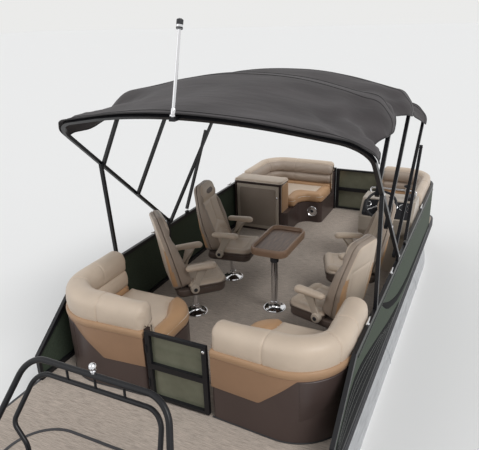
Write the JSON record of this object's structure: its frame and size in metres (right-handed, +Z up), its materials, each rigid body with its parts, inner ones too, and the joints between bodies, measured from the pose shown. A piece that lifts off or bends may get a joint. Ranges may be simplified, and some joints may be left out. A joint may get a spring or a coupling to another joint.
{
  "type": "pontoon boat",
  "caption": "Pontoon boat with a fenced deck, padded seats, swivel chairs, helm, folding top on bows, tow bar and outboard motor.",
  "frame": {"origin": "amidships on the centre line, at the waterline", "axes": "+X starboard, +Y towards the bow, +Z up; deck top at z = 0.5"},
  "size_m": [2.618, 6.935, 3.8791],
  "materials": {
    "float_aluminium": "brushed mill finish",
    "deck_vinyl": "woven vinyl, fine cross weave",
    "rub_rail": "ribbed, satin",
    "frame_black": "satin powder coat",
    "fence_olive": "gloss",
    "smoked_panel": "smoked, gloss",
    "shell_brown": "satin moulding",
    "cushion_cream": "soft vinyl, sewn",
    "seat_tan": "soft vinyl, sewn",
    "chrome": "polished",
    "table_wood": "oiled",
    "canopy_fabric": "woven acrylic",
    "console_beige": "satin moulding",
    "grip_black": "matt",
    "motor_black": "gloss",
    "engine_iron": "plain",
    "propeller_steel": "polished"
  },
  "bodies": {
    "hull": {"pontoon_port": "float_aluminium", "pontoon_starboard": "float_aluminium", "cross_members": "float_aluminium", "motor_pod": "float_aluminium", "deck": "deck_vinyl", "deck_trim": "rub_rail", "fence_frame_port": "frame_black", "fence_frame_starboard": "frame_black", "fence_panel_port": "fence_olive", "fence_panel_starboard": "fence_olive", "stern_shell_port": "shell_brown", "stern_shell_starboard": "shell_brown", "stern_backrest_port": "cushion_cream", "stern_backrest_starboard": "cushion_cream", "bow_lounge_shell_port": "shell_brown", "bow_lounge_shell_starboard": "shell_brown", "bow_backrest_port": "cushion_cream", "bow_backrest_starboard": "cushion_cream", "console": "console_beige", "table_top": "table_wood", "table_pedestal": "chrome", "chair_pedestals": "chrome", "bimini_main_bow": "frame_black", "canopy": "canopy_fabric", "light_pole": "chrome", "tow_bar": "frame_black", "outboard_bracket": "motor_black"},
    "rear_gate": {"rear_gate_frame": "frame_black", "rear_gate_panel": "smoked_panel"},
    "bow_gate": {"bow_gate_frame": "frame_black", "bow_gate_panel": "smoked_panel"},
    "stern_seat_port": {"stern_seat_port": "seat_tan"},
    "stern_seat_starboard": {"stern_seat_starboard": "seat_tan"},
    "bow_seat_port": {"bow_seat_port": "seat_tan"},
    "bow_seat_starboard": {"bow_seat_starboard": "seat_tan"},
    "cabinet_door": {"cabinet_door": "console_beige"},
    "steering_wheel": {"steering_wheel": "grip_black"},
    "bimini_second": {"bimini_second_bow": "frame_black"},
    "bimini_third": {"bimini_third_bow": "frame_black"},
    "bimini_front": {"bimini_front_bow": "frame_black"},
    "bimini_front_struts": {"bimini_front_struts": "frame_black"},
    "motor_swivel": {"outboard_swivel": "motor_black"},
    "motor_leg": {"outboard_leg": "motor_black", "outboard_cowl": "motor_black", "engine_block": "engine_iron"},
    "propeller": {"propeller": "propeller_steel"},
    "chair_1": {"chair_1_frame": "shell_brown", "chair_1_cushion": "cushion_cream"},
    "chair_2": {"chair_2_frame": "shell_brown", "chair_2_cushion": "cushion_cream"},
    "chair_3": {"chair_3_frame": "shell_brown", "chair_3_cushion": "cushion_cream"},
    "chair_4": {"chair_4_frame": "shell_brown", "chair_4_cushion": "cushion_cream"}
  },
  "joints": [
    {"name": "bimini_fold", "type": "hinge", "parent": "hull", "child": "bimini_front", "pos_m": [0, 0.171, 1.2], "axis": [1, 0, 0], "range_deg": [0, 92.1], "deforming": ["canopy"]},
    {"name": "bimini_second_fold", "type": "hinge", "parent": "hull", "child": "bimini_second", "pos_m": [0, -0.843, 2.12591], "axis": [1, 0, 0], "range_deg": [0, 80]},
    {"name": "bimini_third_fold", "type": "hinge", "parent": "hull", "child": "bimini_third", "pos_m": [0, -0.375, 1.69856], "axis": [1, 0, 0], "range_deg": [0, 85.45]},
    {"name": "bimini_strut_fold", "type": "hinge", "parent": "bimini_front", "child": "bimini_front_struts", "pos_m": [0, 1.12911, 2.0183], "axis": [1, 0, 0], "range_deg": [-10.05, 0]},
    {"name": "rear_gate_swing", "type": "hinge", "parent": "hull", "child": "rear_gate", "pos_m": [-0.268, -1.77, 0.8], "axis": [0, 0, -1], "range_deg": [0, 90]},
    {"name": "bow_gate_swing", "type": "hinge", "parent": "hull", "child": "bow_gate", "pos_m": [-0.14, 3.078, 0.8], "axis": [0, 0, -1], "range_deg": [0, 90]},
    {"name": "stern_seat_port_lift", "type": "hinge", "parent": "hull", "child": "stern_seat_port", "pos_m": [-0.292, -1.2, 0.801], "axis": [0, 1, 0], "range_deg": [0, 75]},
    {"name": "stern_seat_starboard_lift", "type": "hinge", "parent": "hull", "child": "stern_seat_starboard", "pos_m": [0.292, -1.2, 0.801], "axis": [0, -1, 0], "range_deg": [0, 75]},
    {"name": "bow_seat_port_lift", "type": "hinge", "parent": "hull", "child": "bow_seat_port", "pos_m": [-0.75, 2.11, 0.93], "axis": [1, 0, 0], "range_deg": [0, 75]},
    {"name": "bow_seat_starboard_lift", "type": "hinge", "parent": "hull", "child": "bow_seat_starboard", "pos_m": [0.85, 1.85, 0.93], "axis": [1, 0, 0], "range_deg": [0, 75]},
    {"name": "cabinet_door_swing", "type": "hinge", "parent": "hull", "child": "cabinet_door", "pos_m": [-1.219, 1.85, 0.85], "axis": [0, 0, -1], "range_deg": [0, 90]},
    {"name": "helm_turn", "type": "hinge", "parent": "hull", "child": "steering_wheel", "pos_m": [0.903, 1.16791, 1.33134], "axis": [0, -0.6866, 0.7271], "range_deg": [-545, 545]},
    {"name": "motor_tilt", "type": "hinge", "parent": "hull", "child": "motor_swivel", "pos_m": [0, -3.01, 0.53], "axis": [-1, 0, 0], "range_deg": [0, 65]},
    {"name": "motor_steer", "type": "hinge", "parent": "motor_swivel", "child": "motor_leg", "pos_m": [0, -3.11, 0.35], "axis": [0, 0, 1], "range_deg": [-30, 30]},
    {"name": "propeller_spin", "type": "hinge", "parent": "motor_leg", "child": "propeller", "pos_m": [0, -3.45, -0.305], "axis": [0, 1, 0], "continuous": true},
    {"name": "chair_1_swivel", "type": "hinge", "parent": "hull", "child": "chair_1", "pos_m": [-0.6, -0.45, 0.8], "axis": [0, 0, 1], "continuous": true},
    {"name": "chair_2_swivel", "type": "hinge", "parent": "hull", "child": "chair_2", "pos_m": [-0.59, 0.4, 0.8], "axis": [0, 0, 1], "continuous": true},
    {"name": "chair_3_swivel", "type": "hinge", "parent": "hull", "child": "chair_3", "pos_m": [0.79, -0.46, 0.8], "axis": [0, 0, 1], "continuous": true},
    {"name": "chair_4_swivel", "type": "hinge", "parent": "hull", "child": "chair_4", "pos_m": [0.795, 0.392, 0.8], "axis": [0, 0, 1], "continuous": true}
  ],
  "couplings": [
    {"joint": "bimini_second_fold", "follows": "bimini_fold", "ratio": 0.8686},
    {"joint": "bimini_third_fold", "follows": "bimini_fold", "ratio": 0.92725},
    {"joint": "bimini_strut_fold", "follows": "bimini_fold", "ratio": -0.10858},
    {"joint": "helm_turn", "follows": "motor_steer", "ratio": -18}
  ]
}
